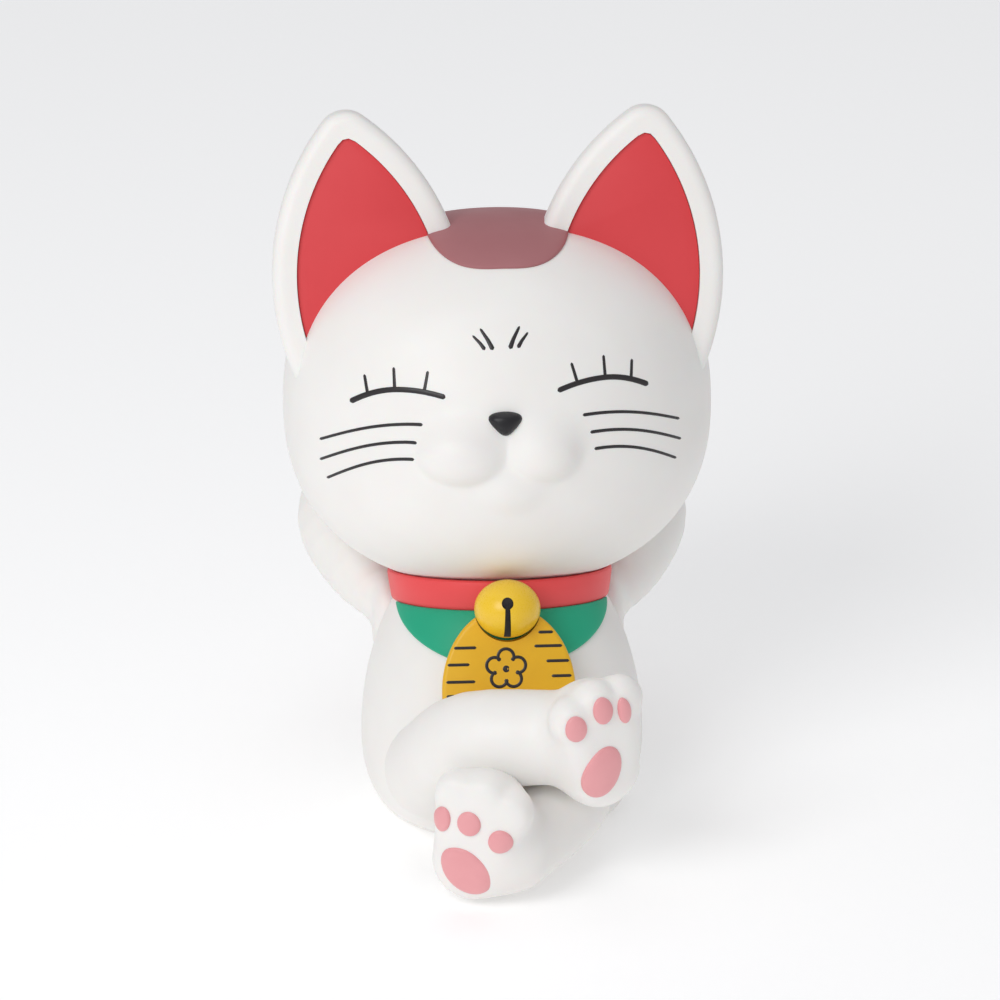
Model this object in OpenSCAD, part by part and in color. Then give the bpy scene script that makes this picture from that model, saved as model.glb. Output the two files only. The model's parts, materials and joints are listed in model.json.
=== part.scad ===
// Beckoning cat figurine in hollow vinyl. The cat sits leaning back with its arms folded
// behind its head and its legs crossed at the ankles, soles to the front. It wears a
// collar, a bib, a bell and an oval coin. The head turns on a neck post, and each arm
// swings on a shoulder peg.
// Millimetres. The ground is z = 0, the cat faces -Y, and its own left side is +X.

/* [Pose] */
// Backward lean of the torso and head, degrees
lean = 15; // [13:1:17]

/* [Head] */
// Width of the head
head_w = 103.2; // [102:0.2:104]
// Depth of the head, front to back
head_d = 96; // [95:0.5:98]
// Height of the head, chin to crown
head_h = 89.8; // [89:0.2:91]
// Height of the middle of the head above the seat, along the leaned axis
head_z = 99.6; // [99:0.2:100.4]
// Squareness of the head's outline: 2 is an ellipse
head_power = 2.3; // [2.2:0.05:2.4]
// Wall of the head shell
head_wall = 2.4; // [2:0.1:3]

/* [Ears] */
// Height of the ear tips above the seat, along the leaned axis
ear_tip_z = 170.5; // [169:0.5:172]
// Width of the white rim round the red lining
ear_rim = 5.7; // [5:0.1:6.4]
// Thickness of an ear, front to back
ear_t = 12; // [10:0.5:13]
// Depth of the lining below the rim
ear_recess = 2; // [1.5:0.1:2.5]

/* [Torso] */
// Greatest width of the torso
torso_w = 68; // [67:0.5:69]
// Height of the widest place, along the leaned axis
belly_z = 19; // [18:0.5:20]
// Height of the shoulders' flat top, along the leaned axis
torso_top = 55; // [54.6:0.1:55.2]
// Wall of the torso shell
torso_wall = 2.4; // [2:0.1:2.8]
// Diameter of the plug in the base
plug_d = 26; // [20:1:30]

/* [Arms] */
// Radius of the shoulder ball
shoulder_r = 9.5; // [9:0.1:9.8]
// Diameter of the shoulder peg
peg_d = 7; // [6:0.5:8]

/* [Collar and charms] */
// Height of the collar band
collar_h = 5.8; // [5:0.1:6.4]
// Outer radius of the collar at its top edge
collar_r = 27.8; // [27.4:0.1:28]
// Diameter of the bell
bell_d = 15.8; // [15:0.2:16.4]
// Width of the oval coin
coin_w = 32; // [30:0.5:33]
// Height of the oval coin
coin_h = 41; // [38:0.5:42]
// Thickness of the oval coin
coin_t = 2.8; // [2.4:0.1:3.2]

/* [Fits] */
// Radial running clearance of the neck post and the shoulder pegs
run_gap = 0.06; // [0.03:0.01:0.1]
// Gap between a glued-on piece and what it sits on
glue_gap = 0.05; // [0.03:0.01:0.1]
// Gap between moving curved faces
move_gap = 0.4; // [0.3:0.05:0.5]

/* [Hidden] */

white = "#f4f1ec";
red = "#d8363e";
eps = 0.01;
left = 1;
right = -1;

// Neck, in the leaned frame
neck_flat_z = 56;        // flat underside of the head
neck_r = 9;              // neck post
neck_head_r = 12;        // button on top of the post
bush_r = 13;             // bush in the head's neck hole
bush_lip_r = 15;
bush_z = [torso_top + 0.4, neck_flat_z + head_wall + 0.4, neck_flat_z + head_wall + 2.6];

// Shoulders, elbows and hands, in the leaned frame, for the left side
shoulder = [27.5, 12.5, 45.5];
shoulder_cup = shoulder_r + move_gap;
arm_path = [[shoulder, shoulder_r], [[34, 20.5, 55], 8.6], [[38.8, 31, 66], 9.3],
            [[33, 44, 78], 8.6], [[21, 53.5, 88], 8.8], [[14, 56.5, 93.5], 9.6]];

// Legs, in the ground frame: places and radii from the hip to the ankle
left_leg_path = [[[16, -18, 14], 12], [[14, -32, 14.5], 11.4], [[-1, -52, 12.4], 10.8]];
right_leg_path = [[[-17, -20, 19], 12], [[-9, -39, 34], 11], [[13, -45, 37.5], 9.8]];
// Feet: centre of the sole, turn about the vertical, tilt of the toes, roll
left_foot = [[-11.5, -62, 17.6], -22, 8, 14];
right_foot = [[22.5, -57.5, 38], 27, 12, -14];
// Sole pads: place across and along the sole, and turn of the long axis
left_sole = [0.5, -7, -55];
right_sole = [-1.4, -4, 40];
pad_h = 1.2;             // how far a pad stands proud

// ---- helpers -------------------------------------------------------------------

module leaned() { rotate([-lean, 0, 0]) children(); }
module on_side(s) { mirror([s < 0 ? 1 : 0, 0, 0]) children(); }

// Quarter outline of a superellipse from its pole (90) to its waist (0)
function super_arc(r, h, n, steps) =
    [for (i = [0 : steps]) let(t = 90 * i / steps) [r * pow(cos(t), 2 / n), h * pow(sin(t), 2 / n)]];
function reversed(list) = [for (i = [len(list) - 1 : -1 : 0]) list[i]];

// Solid of revolution with its waist at z = 0
module round_form(r, up, down, n_up, n_down) {
    upper = super_arc(r, up, n_up, 14);
    lower = [for (p = super_arc(r, down, n_down, 14)) [p[0], -p[1]]];
    rotate_extrude($fn = 96)
        polygon(concat(reversed(lower), [for (i = [1 : len(upper) - 1]) upper[i]]));
}

// A chain of balls joined by straight stretches
module limb(path, grow = 0) {
    for (i = [0 : len(path) - 2])
        hull()
            for (p = [path[i], path[i + 1]])
                translate(p[0]) sphere(r = p[1] + grow, $fn = 32);
}

// ---- head ----------------------------------------------------------------------

module head_form(grow = 0) {
    r = head_w / 2 + grow;
    h = head_h / 2 + grow;
    translate([0, 0, head_z])
        scale([1, head_d / head_w, 1]) round_form(r, h, h, head_power, head_power);
}

module muzzle(grow = 0) {
    for (s = [left, right])
        translate([s * 9.2, -37.8, head_z - 9.6])
            scale([12, 12.5, 9.5] + grow * [1, 1, 1]) sphere(r = 1, $fn = 48);
}

module head_shell() {
    color(white) leaned() difference() {
        union() {
            head_form();
            muzzle();
        }
        head_form(-head_wall);
        translate([0, 0, neck_flat_z - 20]) cylinder(r = 30, h = 20, $fn = 72);
        translate([0, 0, neck_flat_z - eps]) cylinder(r = bush_r, h = 8, $fn = 72);
    }
}

module neck_bush() {
    color("gainsboro") leaned() difference() {
        union() {
            translate([0, 0, bush_z[0]])
                cylinder(r = bush_r - glue_gap, h = bush_z[2] - bush_z[0], $fn = 72);
            translate([0, 0, bush_z[1] + glue_gap])
                cylinder(r = bush_lip_r, h = bush_z[2] - bush_z[1] - glue_gap, $fn = 72);
        }
        translate([0, 0, bush_z[0] - 1])
            cylinder(r = neck_r + run_gap, h = bush_z[2] - bush_z[0] + 2, $fn = 72);
    }
}

module patch_form(grow = 0) {
    intersection() {
        head_form(1 + grow);
        translate([0, -5, head_z])
            scale([17.2 + grow, 28 + grow, 1]) cylinder(r = 1, h = 60, $fn = 96);
    }
}

module crown_patch() {
    color("#7a4444") leaned() difference() {
        patch_form();
        head_form(glue_gap);
    }
}

module nose() {
    color("#1d1a1a") leaned() difference() {
        translate([0, -47.6, head_z - 0.8]) scale([4.5, 3, 3.3]) sphere(r = 1, $fn = 48);
        head_form(glue_gap);
        muzzle(glue_gap);
    }
}

// ---- ears ----------------------------------------------------------------------

// An ear is a pointed arch: two arcs that meet in a rounded tip
ear_outer_c = [-6.5, 131.5];
ear_outer_r = 60.5;
ear_inner_c = [65.7, 122.2];
ear_inner_r = 58.5;
ear_lift = ear_tip_z - 170.5;
ear_front = -16;

// Where the circles (a, ra) and (b, rb) cross, on the upper side
function circles_cross(a, ra, b, rb) =
    let(d = norm(b - a), u = (b - a) / d, along = (ra * ra - rb * rb + d * d) / (2 * d),
        up = sqrt(ra * ra - along * along))
    a + along * u + up * [-u[1], u[0]];
function angle_of(v) = atan2(v[1], v[0]);
function arc(c, r, from, to, steps) =
    [for (i = [0 : steps]) let(t = from + (to - from) * i / steps) c + r * [cos(t), sin(t)]];

module ear_outline(inset, tip_r) {
    ro = ear_outer_r - inset;
    ri = ear_inner_r - inset;
    tip = circles_cross(ear_outer_c, ro - tip_r, ear_inner_c, ri - tip_r);
    outer_end = angle_of(tip - ear_outer_c);
    inner_end = angle_of(tip - ear_inner_c);
    translate([0, ear_lift])
        polygon(concat(
            arc(ear_outer_c, ro, -24, outer_end, 12),
            arc(tip, tip_r, outer_end + 15, inner_end - 15, 6),
            arc(ear_inner_c, ri, inner_end, 172, 10)));
}

// Stands an outline in the leaned frame's front plane, from y to y + depth
module upright(y, depth) {
    translate([0, y + depth, 0]) rotate([90, 0, 0]) linear_extrude(depth) children();
}

module ear(s) {
    color(white) leaned() on_side(s) difference() {
        hull() {
            upright(ear_front, ear_t / 2) ear_outline(0, 6);
            upright(ear_front + ear_t - 1, 1) ear_outline(5, 4);
        }
        upright(ear_front - 1, ear_recess + 1) ear_outline(ear_rim, 2.4);
        head_form(glue_gap);
        patch_form(glue_gap);
    }
}

module ear_lining(s) {
    color(red) leaned() on_side(s) difference() {
        upright(ear_front + ear_recess - 1, 1 - glue_gap) ear_outline(ear_rim + glue_gap, 2.4);
        head_form(glue_gap);
    }
}

// ---- torso ---------------------------------------------------------------------

module torso_form(grow = 0) {
    translate([0, 0, belly_z])
        round_form(torso_w / 2 + grow, 50 + grow, 29 + grow, 2, 2.3);
}

// The ground cuts the leaned torso flat, and everything below z goes
module above(z) {
    intersection() {
        children();
        translate([-100, -120, z]) cube([200, 240, 240]);
    }
}

module shoulder_axis(s) {
    translate([s * shoulder[0], shoulder[1], shoulder[2]]) rotate([0, s * -90, 0]) children();
}

module torso_shell() {
    color(white) above(0) difference() {
        leaned() difference() {
            torso_form();
            translate([0, 0, torso_top]) cylinder(r = 40, h = 30, $fn = 72);
            for (s = [left, right]) shoulder_axis(s) {
                sphere(r = shoulder_cup, $fn = 64);
                cylinder(d = peg_d + 2 * run_gap, h = 16, $fn = 48);
            }
            translate([0, 0, torso_top - 10]) cylinder(r = neck_r + glue_gap, h = 20, $fn = 72);
        }
        // The hollow keeps a cup of wall behind each shoulder
        above(torso_wall) leaned() difference() {
            torso_form(-torso_wall);
            translate([0, 0, torso_top - torso_wall]) cylinder(r = 40, h = 30, $fn = 72);
            for (s = [left, right]) shoulder_axis(s) sphere(r = shoulder_cup + torso_wall, $fn = 64);
        }
        translate([0, 4, -1]) cylinder(d = plug_d, h = torso_wall + 2, $fn = 72);
    }
}

module base_plug() {
    color("lightgray") union() {
        translate([0, 4, 0]) cylinder(d = plug_d - 2 * glue_gap, h = torso_wall + 0.3, $fn = 72);
        translate([0, 4, torso_wall + glue_gap]) cylinder(d = plug_d + 3, h = 1.6, $fn = 72);
    }
}

module neck_post() {
    color("gainsboro") leaned() union() {
        translate([0, 0, torso_top - 8])
            cylinder(r = neck_r, h = bush_z[2] + 0.3 - torso_top + 8, $fn = 72);
        translate([0, 0, bush_z[2] + 0.3]) cylinder(r = neck_head_r, h = 3, $fn = 72);
        translate([0, 0, torso_top - torso_wall - 3]) cylinder(r = neck_head_r, h = 3 - glue_gap, $fn = 72);
    }
}

module tail() {
    color(white) difference() {
        limb([[[0, 30, 9], 8.5], [[3, 37, 12], 7.5]]);
        leaned() torso_form(glue_gap);
    }
}

// ---- collar, bib, bell and coin ------------------------------------------------

collar_top = 57.5;
collar_low = collar_top - collar_h;
bell_at = [0, -33.4, 53.4];
coin_tilt = 8;

module collar() {
    color(red) leaned() difference() {
        translate([0, 0, collar_low])
            cylinder(r1 = collar_r - 0.8, r2 = collar_r, h = collar_h, $fn = 96);
        torso_form(glue_gap);
        translate([0, 0, torso_top]) cylinder(r = 24.2, h = 10, $fn = 96);
        for (s = [left, right]) shoulder_axis(s) sphere(r = shoulder_cup + 2, $fn = 64);
    }
}

module bib() {
    color("#168a5e") leaned() intersection() {
        difference() {
            torso_form(1.3);
            torso_form(glue_gap);
            translate(bell_at) sphere(r = bell_d / 2 + glue_gap, $fn = 64);
        }
        translate([0, 0, collar_low - glue_gap]) rotate([90, 0, 0]) scale([26, 13.2, 1])
            difference() {
                cylinder(r = 1, h = 60, $fn = 96);
                translate([-2, 0, -1]) cube([4, 4, 70]);
            }
    }
}

// A round bell with a keyhole slot, flat at the back where it is glued to the collar
module bell() {
    bell_r = bell_d / 2;
    color("#f2c61c") leaned() translate(bell_at) difference() {
        rotate([90, 0, 0]) sphere(r = bell_r, $fn = 64);
        translate([0, -bell_r - 1, 1.4]) rotate([-90, 0, 0]) cylinder(r = 1.5, h = 3, $fn = 32);
        translate([-0.7, -bell_r - 1, -bell_r - 1]) cube([1.4, 4.2, bell_r + 2.4]);
        translate([-20, -collar_r - glue_gap - bell_at[1], -20]) cube(40);
    }
}

// The coin's back rests against the bib and the belly
module coin_form(grow = 0) {
    leaned() translate([0, -35.2, 33.5]) rotate([90 - coin_tilt, 0, 0])
        scale([coin_w / 2 + grow, coin_h / 2 + grow, 1])
            cylinder(r = 1, h = coin_t + 2 * grow, center = true, $fn = 96);
}

module coin() {
    color("#dca81e") difference() {
        coin_form();
        leaned() translate(bell_at) sphere(r = bell_d / 2 + glue_gap, $fn = 64);
    }
}

// ---- legs and feet -------------------------------------------------------------

module at_foot(f) {
    translate(f[0]) rotate([0, 0, f[1]]) rotate([f[2], 0, 0]) rotate([0, f[3], 0]) children();
}

toe_x = 6.6;

module toe(x, grow = 0, fn = 32) {
    translate([toe_x * x, 5.2, 12.6 - abs(x) * 1.8]) sphere(r = 5.2 + grow, $fn = fn);
}
// Foot in its own frame: the sole is the plane y = 0, and the toes point up
module foot_form(grow = 0) {
    difference() {
        union() {
            hull() {
                translate([0, 8, -8]) sphere(r = 9.8 + grow, $fn = 32);
                translate([0, 8, 4.8]) sphere(r = 11.4 + grow, $fn = 32);
            }
            for (x = [-1, 0, 1]) toe(x, grow);
        }
        translate([-30, -30 - grow, -30]) cube([60, 30, 60]);
    }
}

module leg_form(path, f, grow = 0) {
    limb(path, grow);
    at_foot(f) foot_form(grow);
}

module left_leg() {
    color(white) above(0) difference() {
        leg_form(left_leg_path, left_foot);
        leg_form(right_leg_path, right_foot, glue_gap);
        leaned() torso_form(glue_gap);
        coin_form(glue_gap);
    }
}

module right_leg() {
    color(white) difference() {
        leg_form(right_leg_path, right_foot);
        leaned() torso_form(glue_gap);
        coin_form(glue_gap);
    }
}

// Upright oval prism, from y = back towards the front
module oval(x, z, w, h, back, long) {
    translate([x, back, z]) rotate([90, 0, 0])
        scale([w / 2, h / 2, 1]) cylinder(r = 1, h = long, $fn = 96);
}
module sole_pad(f, p) {
    color("#ee8f9c") at_foot(f)
        translate([p[0], -glue_gap, p[1]]) rotate([0, p[2], 0]) oval(0, 0, 10.8, 13.6, 0, pad_h);
}
// The left foot's toe pads lie on the flat of the sole, under the toes
module left_toe_pads() {
    color("#ee8f9c") at_foot(left_foot)
        for (x = [-1, 0, 1]) oval(toe_x * x, 7 - abs(x) * 2, 5.2, 6.6, -glue_gap, pad_h);
}
// The right foot's toe pads cap the toes themselves
module right_toe_pads() {
    color("#ee8f9c") at_foot(right_foot) for (x = [-1, 0, 1]) difference() {
        intersection() {
            oval(toe_x * x, 12.6 - abs(x) * 1.8, 5.2, 6.6, 5, 8);
            toe(x, pad_h, 96);
        }
        toe(x, glue_gap, 96);
        intersection() {
            translate([0, 8, 4.8]) sphere(r = 11.4 + glue_gap, $fn = 96);
            translate([-30, -glue_gap, -30]) cube([60, 60, 60]);
        }
    }
}

// ---- arms ----------------------------------------------------------------------

module arm(s) {
    color(white) leaned() difference() {
        on_side(s) limb(arm_path);
        head_form(1.1);
        shoulder_axis(s) cylinder(d = peg_d + 2 * glue_gap, h = 20, $fn = 48);
    }
}

// The peg is glued into the arm, and its button holds it behind the torso's cup
module shoulder_peg(s) {
    color("gainsboro") leaned() shoulder_axis(s) union() {
        cylinder(d = peg_d, h = shoulder_cup + torso_wall + 0.3, $fn = 48);
        translate([0, 0, shoulder_cup + torso_wall + 0.2]) cylinder(d = peg_d + 2.4, h = 1.6, $fn = 48);
    }
}

torso_shell();
base_plug();
neck_post();
collar();
bib();
bell();
coin();
left_leg();
right_leg();
sole_pad(left_foot, left_sole);  // left_sole_pad
sole_pad(right_foot, right_sole);  // right_sole_pad
left_toe_pads();
right_toe_pads();
tail();
head_shell();
neck_bush();
crown_patch();
nose();
ear(left);  // left_ear
ear(right);  // right_ear
ear_lining(left);  // left_ear_lining
ear_lining(right);  // right_ear_lining
arm(left);  // left_arm
arm(right);  // right_arm
shoulder_peg(left);  // left_shoulder_peg
shoulder_peg(right);  // right_shoulder_peg
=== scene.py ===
import json
import math

import bmesh
import bpy
import numpy as np
from mathutils import Matrix, Vector


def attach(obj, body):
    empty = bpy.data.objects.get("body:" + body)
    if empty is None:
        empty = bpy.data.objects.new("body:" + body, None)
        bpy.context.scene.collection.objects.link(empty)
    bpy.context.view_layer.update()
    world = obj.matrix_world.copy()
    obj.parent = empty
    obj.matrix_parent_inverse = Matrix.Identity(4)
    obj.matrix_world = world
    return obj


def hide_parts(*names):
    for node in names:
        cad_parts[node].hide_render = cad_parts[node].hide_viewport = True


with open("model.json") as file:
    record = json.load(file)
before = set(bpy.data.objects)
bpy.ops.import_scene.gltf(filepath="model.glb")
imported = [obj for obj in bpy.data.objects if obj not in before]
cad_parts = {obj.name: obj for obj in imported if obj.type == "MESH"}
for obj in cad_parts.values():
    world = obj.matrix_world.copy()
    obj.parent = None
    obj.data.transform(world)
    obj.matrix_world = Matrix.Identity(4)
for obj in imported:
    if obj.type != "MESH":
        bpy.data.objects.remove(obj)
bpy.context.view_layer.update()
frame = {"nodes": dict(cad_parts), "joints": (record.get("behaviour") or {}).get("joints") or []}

MM = 0.001

# ---------------------------------------------------------------------------------
# TORSO
# A hollow belly of soft white vinyl, rotocast in one mould and sprayed with matt white
# paint. Its foot is flat, its shoulders are two round cups for the arms, and the neck
# post and the moulding plug go through round holes in its top and bottom.
# ---------------------------------------------------------------------------------

# The whole figure leans back a little about the ground line: "leaned" places are in
# millimetres in a frame that stands along the neck, and "ground" places stand upright.
swivel = next(j for j in frame["joints"] if j["name"] == "neck_swivel")
lean_angle = -math.atan2(swivel["axis"][1], swivel["axis"][2])
LEANED = Matrix.Rotation(lean_angle, 4, "X")
UPRIGHT = Matrix.Identity(4)


def points_in(turn, p):
    """Ground places in the frame whose place in the ground frame is turn."""
    m = np.array(turn)
    return (p - m[:3, 3]) @ m[:3, :3]


def points_out(turn, p):
    """Places of the frame turn, in the ground frame."""
    m = np.array(turn)
    return p @ m[:3, :3].T + m[:3, 3]


def ball(p, centre, radius):
    return np.linalg.norm(p - np.array(centre, float), axis=1) - radius


def egg(p, centre, radii):
    """Distance to an ellipsoid, good near its surface."""
    q = (p - np.array(centre, float)) / np.array(radii, float)
    k = np.linalg.norm(q, axis=1) + 1e-9
    return k * (k - 1) / (np.linalg.norm(q / np.array(radii, float), axis=1) + 1e-9)


def limb(p, *stations):
    """A round limb through (place, radius) stations."""
    found = np.inf
    for (a, ra), (b, rb) in zip(stations, stations[1:]):
        a, b = np.array(a, float), np.array(b, float)
        t = np.clip((p - a) @ (b - a) / ((b - a) @ (b - a)), 0, 1)
        d = np.linalg.norm(p - a - t[:, None] * (b - a), axis=1) - (ra + (rb - ra) * t)
        found = np.minimum(found, d)
    return found


def flowing(stations, steps=4):
    """More stations along one flowing line through the given ones."""
    rows = np.array([(*place, r) for place, r in stations], float)
    rows = np.vstack([2 * rows[0] - rows[1], rows, 2 * rows[-1] - rows[-2]])
    found = []
    for a, b, c, d in zip(rows, rows[1:], rows[2:], rows[3:]):
        for t in np.arange(steps) / steps:
            curve = 2 * b + (c - a) * t + (2 * a - 5 * b + 4 * c - d) * t**2
            found.append((curve + (3 * b - a - 3 * c + d) * t**3) / 2)
    found.append(rows[-2])
    return tuple((tuple(row[:3]), row[3]) for row in found)


def weld(a, b, soft):
    """Two forms joined with a soft hollow between them."""
    h = np.maximum(soft - np.abs(a - b), 0) / soft
    return np.minimum(a, b) - h * h * soft / 4


def crop(a, b, edge):
    """What two forms share, with its edge rounded to a radius."""
    inner = np.minimum(np.maximum(a, b), -edge)
    return inner + np.hypot(np.maximum(a + edge, 0), np.maximum(b + edge, 0))


def torso_form(p):
    """The belly in the leaned frame: round in plan, waist at 19; belly() cuts its foot flat."""
    waist, wide, up, down = 19, 34, 50, 29
    rho = np.hypot(p[:, 0], p[:, 1]) + 1e-9
    z = p[:, 2] - waist
    power = np.where(z > 0, 2.0, 2.3)
    tall = np.where(z > 0, up, down)
    a, c = rho / wide, np.abs(z) / tall
    q = (a**power + c**power) ** (1 / power) + 1e-9
    slope = np.hypot((a / q) ** (power - 1) / wide, (c / q) ** (power - 1) / tall)
    return (q - 1) / slope


def belly(p):
    """The torso form stood on the ground, with its top cut flat under the head."""
    ground = -(p[:, 2] * math.cos(lean_angle) + p[:, 1] * math.sin(lean_angle))
    return crop(crop(torso_form(p), ground, 2.0), p[:, 2] - 55, 0.8)


def slopes(field, p):
    step = 0.02
    found = np.empty_like(p)
    for i in range(3):
        nudge = np.zeros(3)
        nudge[i] = step
        found[:, i] = (field(p + nudge) - field(p - nudge)) / (2 * step)
    return found


def outward(field, p):
    """Unit directions straight out of the surface of the field."""
    out = slopes(field, p)
    return out / np.linalg.norm(out, axis=1)[:, None]


def settle(field, p, longest=1.5):
    """Moves points straight onto the surface where field is nought."""
    g = slopes(field, p)
    size = (g * g).sum(1) + 1e-9
    move = field(p) / size
    far = np.abs(move) * np.sqrt(size)
    return p - g * (move * np.minimum(1, longest / (far + 1e-9)))[:, None]


def coords(mesh):
    co = np.empty(len(mesh.vertices) * 3)
    mesh.vertices.foreach_get("co", co)
    return co.reshape(-1, 3)


def set_coords(mesh, p):
    mesh.vertices.foreach_set("co", np.asarray(p, float).ravel())
    mesh.update()


def link_piece(name, mesh):
    piece = bpy.data.objects.new(name, mesh)
    bpy.context.scene.collection.objects.link(piece)
    return piece


def mesh_of(bm, name):
    mesh = bpy.data.meshes.new(name)
    bm.to_mesh(mesh)
    bm.free()
    return mesh


def applied(piece):
    """The piece with its modifiers made part of its mesh."""
    made = piece.evaluated_get(bpy.context.evaluated_depsgraph_get())
    mesh = bpy.data.meshes.new_from_object(made)
    piece.modifiers.clear()
    piece.data = mesh
    return piece


def cast(name, field, lumps, grid, turn=UPRIGHT):
    """A soft form: lumps (place, radii) are run together into one skin, and the skin is
    drawn onto the surface of the field. Both are in millimetres in the frame turn."""
    bm = bmesh.new()
    for place, radii in lumps:
        shape = Matrix.Translation(place) @ Matrix.Diagonal((*radii, 1))
        bmesh.ops.create_icosphere(bm, subdivisions=3, radius=1, matrix=shape)
    return draw_skin(link_piece(name, mesh_of(bm, name)), field, grid, turn)


def draw_skin(piece, field, grid, turn=UPRIGHT):
    """Gives a rough solid one even skin and draws it onto the surface of the field."""
    rounds, quick_coarse = 8, 1.7
    skin = piece.modifiers.new("skin", "REMESH")
    skin.mode = "VOXEL"
    skin.voxel_size = grid * 1
    applied(piece)
    mesh = piece.data
    p = coords(mesh)
    ends = np.empty(len(mesh.edges) * 2, int)
    mesh.edges.foreach_get("vertices", ends)
    a, b = ends.reshape(-1, 2).T
    count = np.bincount(np.r_[a, b], minlength=len(p))[:, None]
    for i in range(rounds):
        p = settle(field, settle(field, p))
        if i < rounds - 2:
            around = [np.bincount(np.r_[a, b], np.r_[p[b, k], p[a, k]], len(p)) for k in range(3)]
            p += 0.5 * (np.array(around).T / count - p)
    set_coords(mesh, points_out(turn, settle(field, p)))
    return piece


def along(*stations):
    """Lumps for a limb: balls set every few millimetres along its stations."""
    every = 3.0
    lumps = []
    for (a, ra), (b, rb) in zip(stations, stations[1:]):
        n = max(2, int((Vector(b) - Vector(a)).length / every))
        for i in range(n + 1):
            r = ra + (rb - ra) * i / n
            lumps.append((Vector(a).lerp(Vector(b), i / n), (r, r, r)))
    return lumps


def cut_away(piece, *cutters):
    """Cuts other solids out of a piece. Cutters marked spare are thrown away after."""
    for cutter in cutters:
        cut = piece.modifiers.new("cut", "BOOLEAN")
        cut.operation = "DIFFERENCE"
        cut.solver = "EXACT"
        cut.object = cutter
        applied(piece)
    for cutter in cutters:
        if cutter.get("spare"):
            bpy.data.objects.remove(cutter)
    return piece


def spare_ball(name, centre, radius, subdivisions=4):
    """A ball-shaped cutter in the leaned frame, thrown away after its cut."""
    bm = bmesh.new()
    place = LEANED @ Matrix.Translation(centre)
    bmesh.ops.create_icosphere(bm, subdivisions=subdivisions, radius=radius, matrix=place)
    cutter = link_piece(name, mesh_of(bm, name))
    cutter["spare"] = True
    return cutter


def turned(name, profile, turn, segments=96, spare=False):
    """A turned solid: profile (radius, height) is spun about the frame's Z axis."""
    bm = bmesh.new()
    row = [bm.verts.new((r, 0, z)) for r, z in profile]
    edges = [bm.edges.new(pair) for pair in zip(row, row[1:])]
    bmesh.ops.spin(
        bm, geom=row + edges, axis=(0, 0, 1), cent=(0, 0, 0), steps=segments,
        angle=math.tau, use_merge=True,
    )
    bmesh.ops.remove_doubles(bm, verts=bm.verts, dist=1e-4)
    bmesh.ops.recalc_face_normals(bm, faces=bm.faces)
    bmesh.ops.transform(bm, matrix=turn, verts=bm.verts)
    piece = link_piece(name, mesh_of(bm, name))
    if spare:
        piece["spare"] = True
    return piece


def finish_piece(piece, *materials, crease=35):
    """Millimetres to metres, smooth faces, and the piece's paint."""
    mesh = piece.data
    mesh.transform(Matrix.Scale(MM, 4))
    mesh.polygons.foreach_set("use_smooth", [True] * len(mesh.polygons))
    mesh.set_sharp_from_angle(angle=math.radians(crease))
    mesh.materials.clear()
    for material in materials:
        mesh.materials.append(material)
    return piece


def linear(colour):
    """sRGB hex to the linear colour that a shader takes."""
    parts = [int(colour[i : i + 2], 16) / 255 for i in (1, 3, 5)]
    return [c / 12.92 if c <= 0.04045 else ((c + 0.055) / 1.055) ** 2.4 for c in parts] + [1]


def node(tree, kind, settings=None, **links):
    """Adds a node: settings are its properties and socket values, and links join its
    sockets (an underscore for a space) to another node's outputs."""
    made = tree.nodes.new(kind)
    for key, value in (settings or {}).items():
        if key in made.inputs:
            made.inputs[key].default_value = value
        else:
            setattr(made, key, value)
    for key, source in links.items():
        tree.links.new(source, made.inputs[key.replace("_", " ")])
    return made


def soft_vinyl(name, colour, shade, roughness, grain_mm=0.45, grain=0.10, glow=0.0):
    """Rotocast soft PVC under a matt sprayed coat: even colour that is a touch warmer
    and duller in broad patches, a very fine orange peel, and a broad soft gloss."""
    made = bpy.data.materials.new(name)
    made.use_nodes = True
    tree = made.node_tree
    tree.nodes.clear()
    place = node(tree, "ShaderNodeTexCoord").outputs["Object"]
    patches = node(tree, "ShaderNodeTexNoise", {"Scale": 1 / (18 * MM), "Detail": 3.0}, Vector=place)
    peel = node(tree, "ShaderNodeTexNoise", {"Scale": 1 / (grain_mm * MM), "Detail": 2.0}, Vector=place)
    ripple = node(tree, "ShaderNodeTexNoise", {"Scale": 1 / (5 * MM), "Detail": 1.0}, Vector=place)
    tint = node(tree, "ShaderNodeMix", {"data_type": "RGBA"}, Factor=patches.outputs["Fac"])
    tint.inputs[6].default_value = linear(colour)
    tint.inputs[7].default_value = linear(shade)
    rough = node(
        tree, "ShaderNodeMapRange",
        {"From Min": 0.3, "From Max": 0.7, "To Min": roughness - 0.05, "To Max": roughness + 0.05},
        Value=patches.outputs["Fac"],
    )
    swell = node(
        tree, "ShaderNodeBump", {"Strength": 0.25, "Distance": 0.12 * MM},
        Height=ripple.outputs["Fac"],
    )
    bump = node(
        tree, "ShaderNodeBump", {"Strength": grain, "Distance": 0.05 * MM},
        Height=peel.outputs["Fac"], Normal=swell.outputs["Normal"],
    )
    shader = node(
        tree, "ShaderNodeBsdfPrincipled",
        {"IOR": 1.53, "Subsurface Weight": glow, "Subsurface Scale": 1.5 * MM},
        Base_Color=tint.outputs[2], Roughness=rough.outputs["Result"], Normal=bump.outputs["Normal"],
    )
    node(tree, "ShaderNodeOutputMaterial", Surface=shader.outputs["BSDF"])
    return made


white_vinyl = soft_vinyl("matt_white_sprayed_vinyl", "#f6f4f1", "#efece8", 0.52, glow=0.12)

torso = cast("torso", belly, [((0, 0, 22), (33, 33, 26)), ((0, 0, 34), (28, 28, 20))], 0.9, LEANED)
shoulder_cup = 9.9


def shoulder_at(side):
    """The middle of a shoulder: side is 1 for the left and -1 for the right."""
    return Vector((27.5 * side, 12.5, 45.5))


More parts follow.
